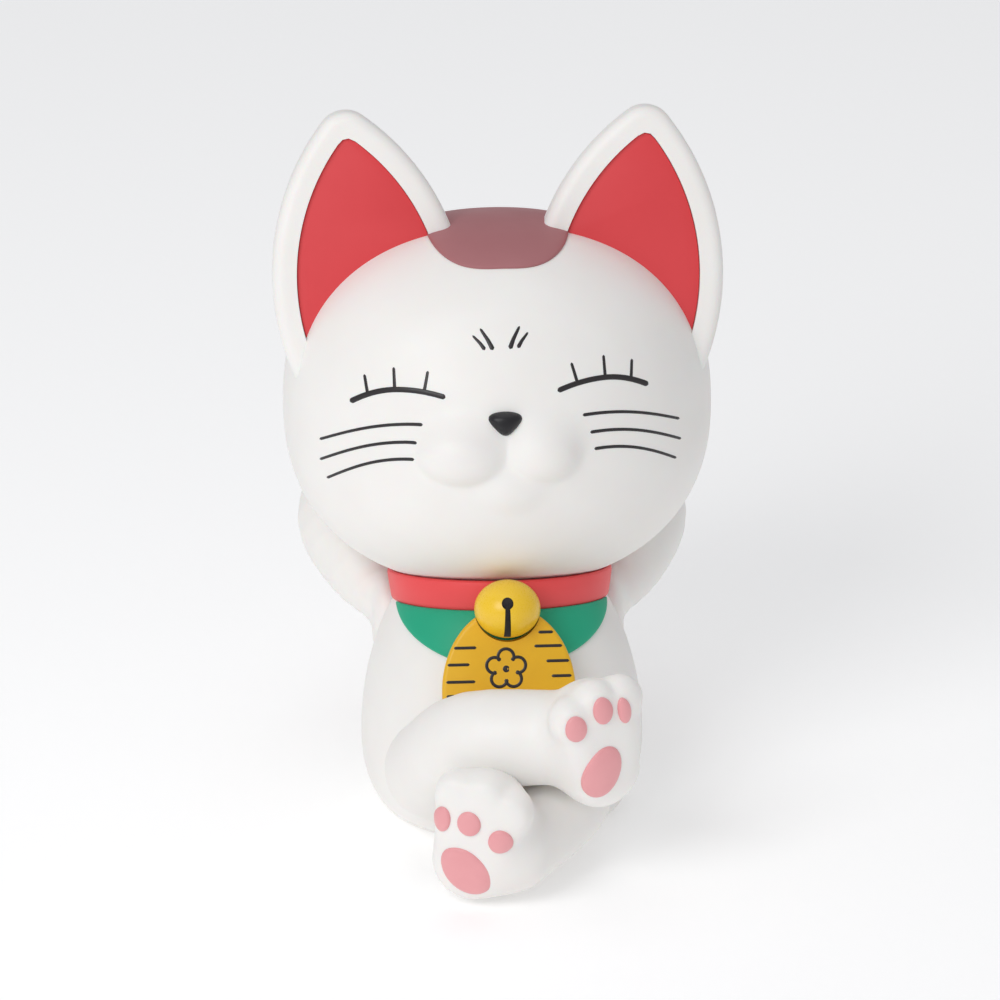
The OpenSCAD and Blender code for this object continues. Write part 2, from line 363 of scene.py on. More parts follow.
for side in (1, -1):
    cut_away(torso, spare_ball("cup", shoulder_at(side), shoulder_cup, subdivisions=5))
neck_hole = turned(
    "neck_hole", [(0, 46.9), (12.1, 46.9), (12.1, 52.6), (9.1, 52.6), (9.1, 58), (0, 58)],
    LEANED, spare=True,
)
plug_hole = turned(
    "plug_hole", [(0, -2), (13.05, -2), (13.05, 2.4), (14.6, 2.4), (14.6, 4.2), (0, 4.2)],
    Matrix.Translation((0, 4, 0)), spare=True,
)
cut_away(torso, neck_hole, plug_hole)
torso_solid = link_piece("torso_solid", torso.data.copy())
finish_piece(torso, white_vinyl)
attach(torso, "torso")
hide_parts("torso_shell")

# ---------------------------------------------------------------------------------
# NECK POST, NECK BUSH AND SHOULDER PEGS
# Turned joint parts in ivory nylon, hidden inside the vinyl. The post's button snaps
# into the bush in the head, and each peg joins an arm to the torso. They are the exact
# CAD solids with the finish of moulded nylon.
# ---------------------------------------------------------------------------------

inner_nylon = soft_vinyl("moulded_nylon", "#e6dfcd", "#dcd3bd", 0.38, grain_mm=0.8, grain=0.15)
for name in ("neck_post", "neck_bush", "left_shoulder_peg", "right_shoulder_peg"):
    joint_part = frame["nodes"][name]
    joint_part.data.materials.clear()
    joint_part.data.materials.append(inner_nylon)

# ---------------------------------------------------------------------------------
# BASE PLUG
# The soft grey PVC plug that closes the moulding hole under the belly. It is injection
# moulded, with a shallow dish and a raised ring, and its flange snaps in behind the wall.
# ---------------------------------------------------------------------------------

plug_pvc = soft_vinyl("moulded_pvc_plug", "#d9d6d0", "#cfcbc4", 0.6, grain_mm=0.7, grain=0.2)
plug_profile = [
    (0, 0.9), (6.2, 0.9), (6.7, 0.5), (8.2, 0.5), (8.7, 0.9), (10.6, 0.9), (11.2, 0.3),
    (12.2, 0.3), (12.95, 0.9), (12.95, 2.45), (14.1, 2.5), (14.45, 3.0), (14.1, 4.0), (0, 4.0),
]
plug = turned("plug", plug_profile, Matrix.Translation((0, 4, 0)))
finish_piece(plug, plug_pvc)
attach(plug, "torso")
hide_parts("base_plug")

# ---------------------------------------------------------------------------------
# COIN
# A flat oval coin of moulded vinyl, sprayed old-gold, with short dark dashes along its
# rim and a small five-petal blossom painted in its middle. It is glued to the bell above
# and the right leg below, and stands a little clear of the belly.
# ---------------------------------------------------------------------------------


def brush_paint(name, colour, shade, roughness, grain_mm=0.35, specular=0.5):
    """Lacquer paint sprayed through a mask or brushed on: slightly uneven pigment, a
    fine film texture, and a soft gloss of its own."""
    made = bpy.data.materials.new(name)
    made.use_nodes = True
    tree = made.node_tree
    tree.nodes.clear()
    place = node(tree, "ShaderNodeTexCoord").outputs["Object"]
    cloud = node(tree, "ShaderNodeTexNoise", {"Scale": 1 / (6 * MM), "Detail": 4.0}, Vector=place)
    film = node(tree, "ShaderNodeTexNoise", {"Scale": 1 / (grain_mm * MM), "Detail": 3.0}, Vector=place)
    tint = node(tree, "ShaderNodeMix", {"data_type": "RGBA"}, Factor=cloud.outputs["Fac"])
    tint.inputs[6].default_value = linear(colour)
    tint.inputs[7].default_value = linear(shade)
    rough = node(
        tree, "ShaderNodeMapRange",
        {"From Min": 0.3, "From Max": 0.7, "To Min": roughness - 0.06, "To Max": roughness + 0.06},
        Value=film.outputs["Fac"],
    )
    bump = node(
        tree, "ShaderNodeBump", {"Strength": 0.15, "Distance": 0.05 * MM}, Height=film.outputs["Fac"]
    )
    shader = node(
        tree, "ShaderNodeBsdfPrincipled",
        {"IOR": 1.5, "Specular IOR Level": specular},
        Base_Color=tint.outputs[2], Roughness=rough.outputs["Result"], Normal=bump.outputs["Normal"],
    )
    node(tree, "ShaderNodeOutputMaterial", Surface=shader.outputs["BSDF"])
    return made


old_gold_paint = brush_paint("old_gold_spray", "#efba1a", "#e5ae14", 0.42)
black_paint = brush_paint("black_brush_lacquer", "#2a2527", "#1f1c1e", 0.38)

bell_centre, bell_r = Vector((0, -33.4, 53.4)), 7.9
COIN = LEANED @ Matrix.Translation((0, -35.2, 33.5)) @ Matrix.Rotation(math.radians(-8), 4, "X")
coin_w, coin_h, coin_thick = 32.0, 41.0, 2.8
bm = bmesh.new()
face_on = Matrix.Diagonal((coin_w / 2, 1, coin_h / 2, 1)) @ Matrix.Rotation(math.pi / 2, 4, "X")
bmesh.ops.create_cone(
    bm, cap_ends=True, cap_tris=False, segments=128, radius1=1, radius2=1,
    depth=coin_thick, matrix=face_on,
)
rims = [f for f in bm.faces if len(f.verts) > 4]
bmesh.ops.bevel(
    bm, geom=[e for f in rims for e in f.edges], offset=1.0, segments=5, profile=0.5,
    affect="EDGES", material=-1,
)
bmesh.ops.transform(bm, matrix=COIN, verts=bm.verts)
coin = link_piece("gold_coin", mesh_of(bm, "gold_coin"))
glue_gap = 0.05
cut_away(coin, spare_ball("bell_room", bell_centre, bell_r + glue_gap))
coin_solid = link_piece("coin_solid", coin.data.copy())
finish_piece(coin, old_gold_paint)
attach(coin, "torso")
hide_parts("coin")


def brush_path(points, width, taper=(1.0, 1.0)):
    """A brush line along (x, z) points: places every 0.3 mm and the half width there,
    with rounded ends."""
    points = np.array(points, float)
    run = np.r_[0, np.cumsum(np.linalg.norm(np.diff(points, axis=0), axis=1))]
    n = max(6, int(run[-1] / 0.3))
    at = np.linspace(0, run[-1], n)
    places = np.stack([np.interp(at, run, points[:, i]) for i in (0, 1)], 1)
    half = width / 2 * np.interp(at, [0, run[-1]], taper)
    edge = np.clip(np.minimum(at, run[-1] - at) / (width / 2), 0, 1)
    return places, half * np.sqrt(np.maximum(1 - (1 - edge) ** 2, 0.04))


def brush_lines(name, lines, put, proud=0.12):
    """Painted lines as a thin raised film: round cords laid flat, pressed to a film, and
    put by put(x, z) -> (places, normals) onto the surface they are painted on."""
    cord = bpy.data.curves.new(name, "CURVE")
    cord.dimensions = "3D"
    cord.bevel_depth = 1.0
    cord.bevel_resolution = 3
    cord.use_fill_caps = True
    for places, half in lines:
        spline = cord.splines.new("POLY")
        spline.points.add(len(places) - 1)
        flat = np.stack([places[:, 0], 0 * half, places[:, 1], 1 + 0 * half], 1)
        spline.points.foreach_set("co", flat.ravel())
        spline.points.foreach_set("radius", half)
    shaped = link_piece(name + "_cord", cord)
    mesh = bpy.data.meshes.new_from_object(
        shaped.evaluated_get(bpy.context.evaluated_depsgraph_get())
    )
    bpy.data.objects.remove(shaped)
    p = coords(mesh)
    places, normals = put(p[:, 0], p[:, 2])
    widest = np.abs(p[:, 1]).max()
    set_coords(mesh, places - normals * (p[:, 1:2] / widest) * proud)
    bm = bmesh.new()
    bm.from_mesh(mesh)
    bmesh.ops.remove_doubles(bm, verts=bm.verts, dist=1e-5)
    bmesh.ops.recalc_face_normals(bm, faces=bm.faces)
    return link_piece(name, mesh_of(bm, name))


def on_coin(x, z):
    """Places on the coin's front, and the way it faces."""
    flat = np.stack([x, 0 * x - coin_thick / 2, z], 1)
    out = np.array(COIN.to_3x3() @ Vector((0, -1, 0)))
    return points_out(COIN, flat), np.tile(out, (len(x), 1))


# Dashes: height on the coin, where they start near the rim, and where they end
dashes = [
    (10.8, -13.0, -7.6), (6.8, -14.6, -9.3), (2.7, -15.0, -8.0), (-0.7, -15.0, -9.8),
    (14.2, 10.8, 7.2), (10.9, 12.9, 6.2), (7.3, 14.5, 9.0), (3.7, 15.0, 10.2),
]
coin_lines = [brush_path([(a, z), (b, z)], 0.75) for z, a, b in dashes]
coin_dashes = brush_lines("coin_dashes", coin_lines, on_coin)
finish_piece(coin_dashes, black_paint)
# Five petals, each an open arc, round a dot that is brushed as two small rings
blossom_x, blossom_z, petal_r, petal_out = -0.6, 5.6, 1.9, 2.9
petal_sweep = math.radians(125)


def arc_points(x, z, r, start, end):
    return [(x + r * math.cos(a), z + r * math.sin(a)) for a in np.linspace(start, end, 24)]


blossom_lines = []
for i in range(5):
    turn = math.tau * i / 5 + math.pi / 2
    x, z = blossom_x + petal_out * math.cos(turn), blossom_z + petal_out * math.sin(turn)
    petal = arc_points(x, z, petal_r, turn - petal_sweep, turn + petal_sweep)
    blossom_lines.append(brush_path(petal, 0.8))
for r, wide in ((0.62, 0.5), (0.25, 0.6)):
    blossom_lines.append(brush_path(arc_points(blossom_x, blossom_z, r, 0, math.tau), wide))
blossom = brush_lines("coin_blossom", blossom_lines, on_coin)
finish_piece(blossom, black_paint)
for mark in (coin_dashes, blossom):
    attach(mark, "torso")

# ---------------------------------------------------------------------------------
# TAIL
# A short stub tail of the same white vinyl, rotocast on its own and glued low on the
# back of the torso.
# ---------------------------------------------------------------------------------

tail_path = (((0, 30, 9), 8.5), ((3, 37, 12), 7.5))
tail = cast("stub_tail", lambda p: limb(p, *tail_path), along(*tail_path), 0.6)
cut_away(tail, torso_solid)
finish_piece(tail, white_vinyl)
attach(tail, "torso")
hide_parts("tail")

# ---------------------------------------------------------------------------------
# LEGS AND FEET
# Two hollow white vinyl legs, each rotocast with its foot and glued to the belly: the
# right shin crosses in front of the left one. Each foot has a flat sole and three round
# toes, and pink pads stand proud of the sole like drops of thick paint.
# ---------------------------------------------------------------------------------

toe_gap, toe_r = 6.6, 5.2
toes = [(toe_gap * i, 5.2, 12.6 - 1.8 * abs(i)) for i in (-1, 0, 1)]
heel, instep = ((0, 8, -8), 9.8), ((0, 8, 4.8), 11.4)


def foot_place(centre, turn, tip, roll):
    """Where a foot stands: turned about Z, tipped about X and rolled about Y, in degrees."""
    place = Matrix.Translation(centre)
    for angle, axis in ((turn, "Z"), (tip, "X"), (roll, "Y")):
        place = place @ Matrix.Rotation(math.radians(angle), 4, axis)
    return place


def foot_form(lift):
    """A foot in its own frame: sole at y 0, toes up, the toes lifted along the sole."""

    def form(p):
        sole = limb(p, heel, instep)
        round_toes = [ball(p, (x, y, z + lift), toe_r + 0.3) for x, y, z in toes]
        both = weld(weld(round_toes[0], round_toes[1], 1.3), round_toes[2], 1.3)
        dome = 0.02 + (p[:, 0] ** 2 + (p[:, 2] * 0.7) ** 2) / 260
        return crop(weld(sole, both, 3.2), dome - p[:, 1], 2.4)

    return form


def leg_form(path, foot, lift):
    whole_foot = foot_form(lift)
    return lambda p: weld(limb(p, *flowing(path)), whole_foot(points_in(foot, p)), 4.5)


def leg_lumps(path, foot):
    lumps = along(*flowing(path)) + [(foot @ Vector(c), r) for c, r in along(heel, instep)]
    return lumps + [(foot @ Vector(toe), (toe_r,) * 3) for toe in toes]


pink_paint = brush_paint("pink_pad_paint", "#efa8ab", "#e79ca0", 0.44)
# Each leg: its path, its foot's place, its sole pad (x, z, tilt, half width, half height),
# its toe pads (x, z, half width, half height), and how far the toes are lifted
legs = {
    "left": (
        (((15, -18, 16), 11.2), ((12, -34, 15.3), 10.5), ((-1, -52, 13), 10.6)),
        foot_place((-11.5, -62, 17.6), -22, 8, 14),
        (0.4, -6.8, -55, 5.5, 7.1),
        [(-8.1, 4.9, 2.2, 3.5), (-1.4, 6.8, 2.9, 3.3), (6.8, 4.6, 2.8, 3.3)],
        0.0,
    ),
    "right": (
        (((-17, -20, 19.5), 12.5), ((-9, -38.5, 34.7), 12.0), ((13, -45, 38.4), 11.0)),
        foot_place((22.5, -57.5, 38), 27, 12, -14),
        (-2.8, -2.9, 17, 4.9, 7.5),
        [(-7.6, 12.6, 2.6, 3.5), (-0.2, 14.6, 2.5, 3.5), (5.2, 12.0, 1.7, 3.5)],
        1.5,
    ),
}


def reach(field, x, z, start):
    """Walks from y = start along the frame's Y until the field's surface."""
    p = np.stack([x, 0 * x + start, z], 1)
    for _ in range(40):
        p[:, 1] += np.clip(field(p), -1, 3) * 0.9
    return p


def drop_of_paint(bm, field, turn, centre, half, tilt, thick):
    """A soft oval drop on a surface: centre and half sizes across and along, in a frame
    whose front is -Y, with tilt the turn of its long axis in degrees."""
    made = bmesh.ops.create_uvsphere(bm, u_segments=40, v_segments=28, radius=1)["verts"]
    q = np.array([v.co for v in made])
    rise = np.sign(q[:, 2]) * np.abs(q[:, 2]) ** 0.75
    a = math.radians(tilt)
    u, v = q[:, 0] * half[0], q[:, 1] * half[1]
    x = centre[0] + u * math.cos(a) + v * math.sin(a)
    z = centre[1] - u * math.sin(a) + v * math.cos(a)
    under = reach(field, x, z, -6)
    lift = np.where(rise > 0, rise * thick, rise * 0.25)
    placed = points_out(turn, under + outward(field, under) * lift[:, None])
    for vert, place in zip(made, placed):
        vert.co = place


for side, (path, foot, sole_at, toes_at, lift) in legs.items():
    leg = cast(side + "_leg_and_foot", leg_form(path, foot, lift), leg_lumps(path, foot), 0.65)
    cut_away(leg, torso_solid)
    if side == "right":
        cut_away(leg, coin_solid)
    finish_piece(leg, white_vinyl)
    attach(leg, "torso")
    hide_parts(side + "_leg")
    sole_drop = [(sole_at[:2], sole_at[3:], sole_at[2], 1.2)]
    toe_drops = [((x, z), (half_w, half_h), 0, 1.15) for x, z, half_w, half_h in toes_at]
    for drops, pad_name, cad in (
        (sole_drop, side + "_sole_drop", side + "_sole_pad"),
        (toe_drops, side + "_toe_drops", side + "_toe_pads"),
    ):
        bm = bmesh.new()
        for drop in drops:
            drop_of_paint(bm, foot_form(lift), foot, *drop)
        bmesh.ops.recalc_face_normals(bm, faces=bm.faces)
        pad = link_piece(pad_name, mesh_of(bm, pad_name))
        finish_piece(pad, pink_paint)
        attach(pad, "torso")
        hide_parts(cad)
for spare in (torso_solid, coin_solid):
    bpy.data.objects.remove(spare)

# ---------------------------------------------------------------------------------
# BIB
# A thin half-oval bib of green soft vinyl, moulded flat and glued round the chest
# under the collar. Its cut edge is slightly rounded.
# ---------------------------------------------------------------------------------

green_vinyl = soft_vinyl("green_soft_vinyl", "#0cae86", "#0aa17a", 0.5, grain_mm=0.5)
bib_top, bib_half, bib_drop, bib_thick = 51.6, 25.1, 13.0, 1.2
bm = bmesh.new()
made = bmesh.ops.create_uvsphere(bm, u_segments=160, v_segments=48, radius=1)["verts"]
q = np.array([v.co for v in made])
edge = np.sqrt(np.maximum(1 - q[:, 0] ** 2, 0))
x = q[:, 0] * bib_half
z = bib_top - bib_drop * (edge - q[:, 1]) / 2
under = reach(torso_form, x, z, -60)
lift = np.where(q[:, 2] > 0, np.abs(q[:, 2]) ** 0.35 * bib_thick, 0) + 0.06
for vert, place in zip(made, points_out(LEANED, under + outward(torso_form, under) * lift[:, None])):
    vert.co = place
bmesh.ops.recalc_face_normals(bm, faces=bm.faces)
bib = link_piece("green_bib", mesh_of(bm, "green_bib"))
finish_piece(bib, green_vinyl)
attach(bib, "torso")
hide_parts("bib")

# ---------------------------------------------------------------------------------
# COLLAR
# A red soft-vinyl band, moulded as a ring and pushed down over the neck. It flares a
# little upwards, its edges are rounded, and it is notched at each shoulder for the arm.
# ---------------------------------------------------------------------------------

red_vinyl = soft_vinyl("red_soft_vinyl", "#f04c4f", "#e74548", 0.46, grain_mm=0.5)
low, high = 51.75, 59.0
collar_profile = [
    (25.7, low), (25.9, low), (26.25, low + 0.35), (26.4, low + 1.2), (26.8, (low + high) / 2),
    (27.1, high - 1.1), (27.0, high - 0.35), (26.65, high), (25.0, high), (24.5, high - 0.3),
    (24.3, high - 0.9), (24.3, 55.1), (24.6, 54.6), (25.7, low),
]
collar = turned("collar_band", collar_profile, LEANED, segments=160)
arm_room = 2
for side in (1, -1):
    cut_away(collar, spare_ball("notch", shoulder_at(side), shoulder_cup + arm_room))
finish_piece(collar, red_vinyl)
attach(collar, "torso")
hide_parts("collar")

# ---------------------------------------------------------------------------------
# BELL
# A round bell moulded in vinyl and sprayed a clear yellow, glued to the collar by its
# flat back. A keyhole, a round hole with a slot below it, is sunk in its front and
# painted dark.
# ---------------------------------------------------------------------------------

yellow_paint = brush_paint("yellow_bell_spray", "#f7cd31", "#efc028", 0.30)
BELL = LEANED @ Matrix.Translation(bell_centre)
bell_squash = 0.88
bm = bmesh.new()
bmesh.ops.create_uvsphere(bm, u_segments=96, v_segments=64, radius=bell_r)
bmesh.ops.bisect_plane(
    bm, geom=bm.verts[:] + bm.edges[:] + bm.faces[:], plane_co=(0, 5.55, 0),
    plane_no=(0, 1, 0), clear_outer=True,
)
bmesh.ops.contextual_create(bm, geom=[e for e in bm.edges if e.is_boundary])
squashed = BELL @ Matrix.Diagonal((1, 1, bell_squash, 1))
bmesh.ops.transform(bm, matrix=squashed, verts=bm.verts)
bell = link_piece("round_bell", mesh_of(bm, "round_bell"))
hole_x, hole_z, hole_r, slot_end = -0.3, 2.3, 1.4, -6.6
bm = bmesh.new()
cut_front = Matrix.Rotation(math.pi / 2, 4, "X")
bmesh.ops.create_cone(
    bm, cap_ends=True, segments=48, radius1=hole_r, radius2=hole_r, depth=4,
    matrix=BELL @ Matrix.Translation((hole_x, -8.2, hole_z)) @ cut_front,
)
keyhole = link_piece("keyhole", mesh_of(bm, "keyhole"))
keyhole["spare"] = True
bm = bmesh.new()
corners = [(-0.55, hole_z), (0.55, hole_z), (0.85, slot_end), (-0.85, slot_end)]
face = bm.faces.new([bm.verts.new((hole_x + x, -10, z)) for x, z in corners])
drawn = bmesh.ops.extrude_face_region(bm, geom=[face])["geom"]
for vert in [g for g in drawn if isinstance(g, bmesh.types.BMVert)]:
    vert.co.y = -5.9 if vert.co.z > 0 else -3.2
bmesh.ops.recalc_face_normals(bm, faces=bm.faces)
bmesh.ops.transform(bm, matrix=BELL, verts=bm.verts)
slot = link_piece("slot", mesh_of(bm, "slot"))
slot["spare"] = True
cut_away(bell, keyhole, slot)
finish_piece(bell, yellow_paint, black_paint, crease=40)
middle = np.array(BELL.translation) * MM
for face in bell.data.polygons:
    local = points_in(LEANED, np.array([face.center]) - middle)[0] / (1, 1, bell_squash)
    if np.linalg.norm(local) < (bell_r - 0.12) * MM and local[1] < 0:
        face.material_index = 1
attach(bell, "torso")
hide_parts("bell")

# ---------------------------------------------------------------------------------
# HEAD
# A big round hollow head of the same white vinyl, with two puffed cheeks under the
# nose, a soft chin, and a flat underside with the hole for the neck bush. It turns on
# the neck post.
# ---------------------------------------------------------------------------------

head_z, head_half, head_deep, head_tall, head_power = 99.6, 51.6, 48.0, 44.9, 2.3
face_x = -0.6
neck_flat = 56.0


def head_shape(p, grow=0.0):
    """The plain head: superellipse sides over an oval plan."""
    x, y, z = p[:, 0], p[:, 1] * head_half / head_deep, p[:, 2] - head_z
    rho = np.hypot(x, y) + 1e-9
    a, c = rho / head_half, np.abs(z) / head_tall
    q = (a**head_power + c**head_power) ** (1 / head_power) + 1e-9
    side = (a / q) ** (head_power - 1) / head_half
    stretch = np.hypot(x / rho, y / rho * head_half / head_deep)
    return (q - 1) / np.hypot(side * stretch, (c / q) ** (head_power - 1) / head_tall) - grow


def head_form(p):
    """The head with its cheeks and chin, cut flat at the neck. The weld round the cheeks
    is wide above them and tight below, where a crease runs."""
    right_puff = egg(p, (face_x - 9.4, -40.6, head_z - 6.9), (12.2, 10.9, 9.0))
    left_puff = egg(p, (face_x + 8.4, -40.6, head_z - 6.9), (10.6, 10.3, 8.8))
    cheeks = weld(right_puff, left_puff, 0.3)
    above = np.clip((p[:, 2] - head_z + 9) / 9, 0, 1)
    chin = egg(p, (face_x + 1.5, -42.0, head_z - 15.6), (7.5, 4.6, 4.8))
    face = weld(weld(head_shape(p), cheeks, 1.1 + 3.2 * above), chin, 3.0)
    return crop(face, neck_flat - p[:, 2], 0.5)


head_lumps = [
    ((0, 0, head_z), (51, 47.4, 44)), ((0, 0, head_z - 24), (38, 35, 19)),
    ((face_x + 9, -40, head_z - 7), (10.5, 9.5, 8)),
    ((face_x - 9, -40, head_z - 7), (10.5, 9.5, 8)),
]
head = cast("head_ball", head_form, head_lumps, 0.8, LEANED)
neck_well = turned(
    "neck_well",
    [
        (0, 50), (13.3, 50), (13.3, 58.6), (15.3, 58.6),
        (15.3, 61.3), (12.6, 61.3), (12.6, 66), (0, 66),
    ],
    LEANED, spare=True,
)
cut_away(head, neck_well)
head_solid = link_piece("head_solid", head.data.copy())
finish_piece(head, white_vinyl)
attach(head, "head")
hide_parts("head_shell")

# ---------------------------------------------------------------------------------
# NOSE
# A small black nose: a rounded triangle, point down, moulded apart in vinyl, sprayed
# satin black and pressed into the face above the cheeks.
# ---------------------------------------------------------------------------------


def nose_form(p):
    """An egg cropped by a nearly level top and two slanting sides."""
    q = p - np.array([face_x, -47.3, head_z + 0.5])
    form = egg(q, (0, 0, 0), (4.9, 3.0, 4.4))
    top = q[:, 2] - 2.7 + (q[:, 0] ** 2) / 40
    form = crop(form, top, 1.9)
    for s in (1, -1):
        slant = (s * q[:, 0] * 0.72 - q[:, 2] * 0.70) - 2.95
        form = crop(form, slant, 1.9)
    return form


nose_lumps = [
    ((face_x, -47.3, head_z + 0.6), (3.4, 2.6, 2.2)),
    ((face_x, -47.3, head_z - 1.2), (1.8, 2.4, 2)),
]
nose = cast("black_nose", nose_form, nose_lumps, 0.25, LEANED)
satin_black = brush_paint("satin_black_spray", "#1f1e22", "#19181b", 0.40, specular=0.4)
finish_piece(nose, satin_black)
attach(nose, "head")
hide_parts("nose")

# ---------------------------------------------------------------------------------
# CROWN PATCH
# A thin oval cap of brown between the ears, a thick sprayed patch that stands about a
# millimetre proud of the head, with a soft edge.
# ---------------------------------------------------------------------------------

brown_paint = soft_vinyl("brown_sprayed_patch", "#ac6e71", "#a26569", 0.55, grain_mm=0.6)
patch_y, patch_half, patch_power, patch_proud = -5.0, (17.2, 28.0), 2.8, 1.0
bm = bmesh.new()
made = bmesh.ops.create_uvsphere(bm, u_segments=160, v_segments=56, radius=1)["verts"]
q = np.array([v.co for v in made])
rho = np.hypot(q[:, 0], q[:, 1]) + 1e-9
powers = np.abs(q[:, 0] / rho) ** patch_power + np.abs(q[:, 1] / rho) ** patch_power
square = (powers + 1e-9) ** (-1 / patch_power)
plan = q[:, :2] * square[:, None] * np.array(patch_half)
p = np.stack([plan[:, 0], patch_y + plan[:, 1], 0 * rho + 146], 1)
for _ in range(30):
    p[:, 2] -= np.clip(head_shape(p), -2, 3)
lift = np.where(q[:, 2] > 0, np.abs(q[:, 2]) ** 0.3 * patch_proud, -0.02)
for vert, place in zip(made, points_out(LEANED, p + outward(head_shape, p) * lift[:, None])):
    vert.co = place
bmesh.ops.recalc_face_normals(bm, faces=bm.faces)
patch = link_piece("brown_patch", mesh_of(bm, "brown_patch"))
finish_piece(patch, brown_paint)
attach(patch, "head")
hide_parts("crown_patch")

# ---------------------------------------------------------------------------------
# EARS
# Two upright leaf-shaped ears of white vinyl, moulded apart and glued to the head. Each
# has a thick rounded rim round a shallow dish, and a red panel is glued in the dish.
# ---------------------------------------------------------------------------------

outer_arc, inner_arc = ((-6.5, 131.5), 60.5), ((65.7, 122.2), 58.5)
ear_front, ear_back, rim, dish = -16.0, -4.0, 5.7, 2.0


def leaf(p, side, inset, tip):
    """The ear's outline, two arcs that meet in a rounded tip."""
    arcs = [
        np.hypot(p[:, 0] * side - c[0], p[:, 2] - c[1]) - r + inset for c, r in (outer_arc, inner_arc)
    ]
    return crop(arcs[0], arcs[1], tip)


def ear_form(side):
    def form(p):
        outline = leaf(p, side, 0, 6.0)
        return crop(crop(outline, ear_front - p[:, 1], 2.6), p[:, 1] - ear_back, 4.5)

    return form


def leaf_points(side, inset):
    """Points round the leaf, for a flat blank that is then extruded."""
    count = 160
    found = []
    for i in range(count):
        a = math.tau * i / count
        centre = np.array([29.5 * side, 0, 128.0])
        reach_out = np.array([math.cos(a), 0, math.sin(a)])
        lo, hi = 0.0, 70.0
        for _ in range(24):
            mid = (lo + hi) / 2
            inside = leaf((centre + reach_out * mid)[None], side, inset, 2.4)[0] < 0
            lo, hi = (mid, hi) if inside else (lo, mid)
        found.append(centre + reach_out * lo)
    return found


def leaf_blank(name, side, inset, front, back):
    """A flat leaf, extruded from front to back."""
    bm = bmesh.new()
    face = bm.faces.new([bm.verts.new((x, front, z)) for x, _, z in leaf_points(side, inset)])
    drawn = bmesh.ops.extrude_face_region(bm, geom=[face])["geom"]
    for vert in [g for g in drawn if isinstance(g, bmesh.types.BMVert)]:
        vert.co.y = back
    bmesh.ops.recalc_face_normals(bm, faces=bm.faces)
    return link_piece(name, mesh_of(bm, name))


red_lining_paint = soft_vinyl("red_ear_panel", "#df4146", "#d5383e", 0.5, grain_mm=0.5)
for name, side in (("left", 1), ("right", -1)):
    blank = leaf_blank(name + "_ear_leaf", side, 0.5, ear_front + 0.4, ear_back - 0.4)
    ear = draw_skin(blank, ear_form(side), 0.6, LEANED)
    dish_cutter = leaf_blank("dish_cutter", side, rim, ear_front - 4, ear_front + dish)
    dish_cutter.data.transform(LEANED)
    dish_cutter["spare"] = True
    cut_away(ear, dish_cutter)
    cut_away(ear, head_solid)
    finish_piece(ear, white_vinyl)
    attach(ear, "head")
    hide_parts(name + "_ear")
    dish_floor = ear_front + dish
    panel = leaf_blank(name + "_ear_panel", side, rim + 0.1, dish_floor - 1.0, dish_floor - 0.03)
    bm = bmesh.new()
    bm.from_mesh(panel.data)
    front = min(bm.faces, key=lambda f: f.calc_center_median().y)
    bmesh.ops.bevel(
        bm, geom=list(front.edges), offset=0.3, segments=3, profile=0.5, affect="EDGES", material=-1,
    )
    bm.to_mesh(panel.data)
    bm.free()
    panel.data.transform(LEANED)
    cut_away(panel, head_solid)
    finish_piece(panel, red_lining_paint)
    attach(panel, "head")
    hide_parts(name + "_ear_lining")
bpy.data.objects.remove(head_solid)

# ---------------------------------------------------------------------------------
# PAINTED FACE
# The closed eyes with their lashes, the two pairs of brow marks and the whiskers are
# brushed on the head in black lacquer. The whole drawing leans a touch to one side, as
# hand work does.
# ---------------------------------------------------------------------------------

drawn_tilt = math.radians(2.3)
tilt_x, tilt_z = math.cos(drawn_tilt), math.sin(drawn_tilt)
drawn_x, drawn_z = face_x - 0.45, head_z + 0.75


def on_face(points):
    """Places in the drawing, across and up from its middle, on the tilted face."""
    x, z = np.array(points, float).T
    return np.stack([drawn_x + x * tilt_x - z * tilt_z, drawn_z + z * tilt_x + x * tilt_z], 1)


def on_head(x, z):
    """Places on the front of the head, and the ways it faces there."""
    places = reach(head_form, x, z, -62)
    facing = outward(head_form, places) @ np.array(LEANED.to_3x3()).T
    return points_out(LEANED, places), facing


eye_x, eye_half, eye_top, eye_inner, eye_outer = 24.4, 11.1, 8.3, 2.0, 3.2
# Lashes: foot from the middle of the eye across and up, lean, and length
lashes = ((-6.2, 7.7, -1.2, 4.9), (0.6, 8.2, -0.1, 5.3), (6.9, 7.0, 0.5, 4.7))
# Whiskers: start across and up, end across, and fall
whiskers = ((19.0, 0.0, 43.0, 4.6), (20.6, -4.3, 43.2, 5.3), (21.4, -8.4, 41.8, 5.7))
